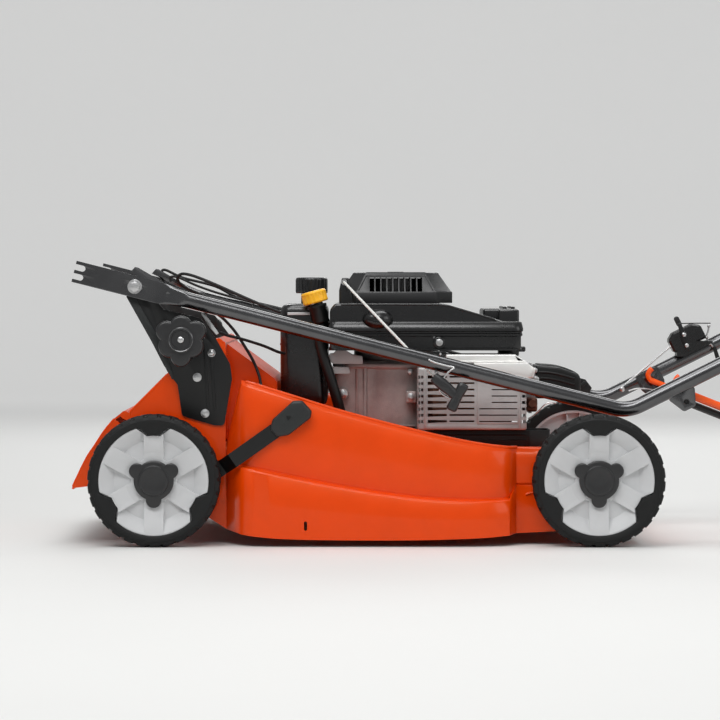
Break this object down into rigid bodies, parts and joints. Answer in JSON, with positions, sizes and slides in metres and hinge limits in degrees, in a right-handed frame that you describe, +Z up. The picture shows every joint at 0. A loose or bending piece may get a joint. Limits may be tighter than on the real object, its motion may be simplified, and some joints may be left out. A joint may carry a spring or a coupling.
{
  "type": "walk-behind lawn mower",
  "caption": "Petrol walk-behind lawn mower: orange deck, vertical-shaft engine, coupled wheel height lever, hinged rear guard and a handle folded forward over the engine.",
  "frame": {"origin": "on the ground, under the middle of the whole mower in its folded storage pose", "axes": "+X points to the front of the deck, +Y to the left side of the mower, +Z up; the wheels stand on z = 0"},
  "size_m": [1.1666, 0.58, 0.4313],
  "materials": {
    "orange_paint": "glossy powder coat",
    "black_paint": "satin powder coat",
    "graphite_paint": "semi-gloss powder coat",
    "silver_paint": "satin heat-proof paint",
    "bail_coat": "dipped plastic coat",
    "black_plastic": "fine-grained moulding",
    "charcoal_plastic": "grained moulding",
    "slate_plastic": "grained moulding",
    "grey_plastic": "satin moulding",
    "yellow_plastic": "satin moulding",
    "tyre_rubber": "matt tread rubber",
    "black_rubber": "matt rubber",
    "foam_grip": "soft foam sleeve",
    "zinc_steel": "zinc plated",
    "heated_steel": "heat-browned",
    "cast_alloy": "sand-cast grain",
    "bare_alloy": "die-cast",
    "bright_alloy": "clean die-cast",
    "cast_iron": "rough casting",
    "white_cord": "braided cord"
  },
  "bodies": {
    "mower": {"mower_deck": "orange_paint", "rear_housing": "orange_paint", "guard_hinge_rod": "zinc_steel", "handle_bracket_right": "black_paint", "handle_bracket_left": "black_paint", "engine_crankcase": "cast_alloy", "engine_cylinder": "bare_alloy", "valve_cover": "black_paint", "cylinder_shroud": "bright_alloy", "spark_plug_boot": "black_rubber", "muffler": "heated_steel", "muffler_guard": "silver_paint", "blower_housing": "black_plastic", "starter_cover": "charcoal_plastic", "fuel_tank": "black_plastic", "oil_fill_tube": "black_paint", "air_cleaner": "black_plastic", "carburettor": "bare_alloy", "starter_rope": "white_cord", "brake_cable": "black_rubber"},
    "rear_guard": {"rear_guard": "orange_paint"},
    "rear_crank": {"rear_axle_crank": "zinc_steel", "height_lever": "black_paint", "lever_grip": "slate_plastic", "drive_gearbox": "cast_alloy"},
    "drive_shaft": {"drive_shaft": "zinc_steel"},
    "front_crank": {"front_axle_crank": "zinc_steel"},
    "lift_link": {"lift_link": "zinc_steel"},
    "handle_carrier": {"pivot_bolt_right": "zinc_steel", "pivot_bolt_left": "zinc_steel"},
    "handle": {"handle_tube": "graphite_paint", "handle_grip": "foam_grip", "throttle_housing": "black_plastic", "rope_guide": "zinc_steel", "cable_anchor": "black_paint"},
    "brake_bail": {"brake_bail": "bail_coat"},
    "drive_bail": {"drive_bail": "black_paint"},
    "throttle_lever": {"throttle_lever": "charcoal_plastic"},
    "starter_grip": {"starter_grip": "charcoal_plastic"},
    "star_knob_right": {"star_knob_right": "charcoal_plastic"},
    "star_knob_left": {"star_knob_left": "charcoal_plastic"},
    "rotor": {"crankshaft": "zinc_steel", "flywheel": "cast_iron", "blade_adapter": "cast_iron", "mower_blade": "zinc_steel", "blade_bolt": "zinc_steel"},
    "fuel_cap": {"fuel_cap": "black_plastic"},
    "oil_cap": {"oil_cap": "yellow_plastic"},
    "rear_wheel_right": {"rear_wheel_right_tyre": "tyre_rubber", "rear_wheel_right_rim": "grey_plastic", "rear_wheel_right_cap": "charcoal_plastic"},
    "rear_wheel_left": {"rear_wheel_left_tyre": "tyre_rubber", "rear_wheel_left_rim": "grey_plastic", "rear_wheel_left_cap": "charcoal_plastic"},
    "front_wheel_right": {"front_wheel_right_tyre": "tyre_rubber", "front_wheel_right_rim": "grey_plastic", "front_wheel_right_cap": "charcoal_plastic"},
    "front_wheel_left": {"front_wheel_left_tyre": "tyre_rubber", "front_wheel_left_rim": "grey_plastic", "front_wheel_left_cap": "charcoal_plastic"}
  },
  "joints": [
    {"name": "deck_height", "type": "hinge", "parent": "mower", "child": "rear_crank", "pos_m": [-0.40178, 0, 0.083], "axis": [0, -1, 0], "range_deg": [0, 38]},
    {"name": "front_height", "type": "hinge", "parent": "mower", "child": "front_crank", "pos_m": [0.26872, 0, 0.083], "axis": [0, -1, 0], "range_deg": [0, 38]},
    {"name": "link_pin", "type": "hinge", "parent": "rear_crank", "child": "lift_link", "pos_m": [-0.40178, 0, 0.123], "axis": [0, -1, 0], "range_deg": [-38, 0]},
    {"name": "drive_turn", "type": "hinge", "parent": "rear_crank", "child": "drive_shaft", "pos_m": [-0.45428, 0, 0.1], "axis": [0, -1, 0], "continuous": true},
    {"name": "rear_wheel_right_roll", "type": "hinge", "parent": "rear_crank", "child": "rear_wheel_right", "pos_m": [-0.45428, -0.29, 0.1], "axis": [0, -1, 0], "continuous": true},
    {"name": "rear_wheel_left_roll", "type": "hinge", "parent": "rear_crank", "child": "rear_wheel_left", "pos_m": [-0.45428, 0.29, 0.1], "axis": [0, -1, 0], "continuous": true},
    {"name": "front_wheel_right_roll", "type": "hinge", "parent": "front_crank", "child": "front_wheel_right", "pos_m": [0.21622, -0.29, 0.1], "axis": [0, -1, 0], "continuous": true},
    {"name": "front_wheel_left_roll", "type": "hinge", "parent": "front_crank", "child": "front_wheel_left", "pos_m": [0.21622, 0.29, 0.1], "axis": [0, -1, 0], "continuous": true},
    {"name": "guard_lift", "type": "hinge", "parent": "mower", "child": "rear_guard", "pos_m": [-0.50328, 0, 0.1965], "axis": [0, 1, 0], "range_deg": [0, 70]},
    {"name": "handle_slide", "type": "slide", "parent": "mower", "child": "handle_carrier", "axis": [0.6691, 0, -0.7431], "range_m": [0, 0.02]},
    {"name": "handle_fold", "type": "hinge", "parent": "handle_carrier", "child": "handle", "pos_m": [-0.48578, 0, 0.392], "axis": [0, -1, 0], "range_deg": [0, 150.8], "deforming": ["starter_rope", "brake_cable"]},
    {"name": "brake_squeeze", "type": "hinge", "parent": "handle", "child": "brake_bail", "pos_m": [0.34194, 0, 0.23558], "axis": [0, -1, 0], "range_deg": [0, 47], "stiffness_Nm_per_rad": 2},
    {"name": "drive_squeeze", "type": "hinge", "parent": "handle", "child": "drive_bail", "pos_m": [0.35351, 0, 0.21677], "axis": [0, -1, 0], "range_deg": [0, 47], "stiffness_Nm_per_rad": 1.5},
    {"name": "throttle_turn", "type": "hinge", "parent": "handle", "child": "throttle_lever", "pos_m": [0.40296, 0.2315, 0.30607], "axis": [0, -1, 0], "range_deg": [-20, 20]},
    {"name": "starter_pull", "type": "slide", "parent": "handle", "child": "starter_grip", "axis": [0.4847, -0.866, -0.1227], "range_m": [0, 0.6], "stiffness_N_per_m": 15, "springref_m": -0.06},
    {"name": "knob_right_turn", "type": "hinge", "parent": "mower", "child": "star_knob_right", "pos_m": [-0.41379, -0.253, 0.31204], "axis": [0, 1, 0], "range_deg": [0, 720]},
    {"name": "knob_left_turn", "type": "hinge", "parent": "mower", "child": "star_knob_left", "pos_m": [-0.41379, 0.253, 0.31204], "axis": [0, -1, 0], "range_deg": [0, 720]},
    {"name": "rotor_turn", "type": "hinge", "parent": "mower", "child": "rotor", "pos_m": [-0.08728, 0, 0.05], "axis": [0, 0, 1], "continuous": true},
    {"name": "fuel_cap_lift", "type": "slide", "parent": "mower", "child": "fuel_cap", "axis": [0, 0, 1], "range_m": [0, 0.06]},
    {"name": "oil_cap_lift", "type": "slide", "parent": "mower", "child": "oil_cap", "axis": [-0.2588, 0, 0.9659], "range_m": [0, 0.075]}
  ],
  "couplings": [
    {"joint": "front_height", "follows": "deck_height", "ratio": 1},
    {"joint": "link_pin", "follows": "deck_height", "ratio": -1}
  ]
}
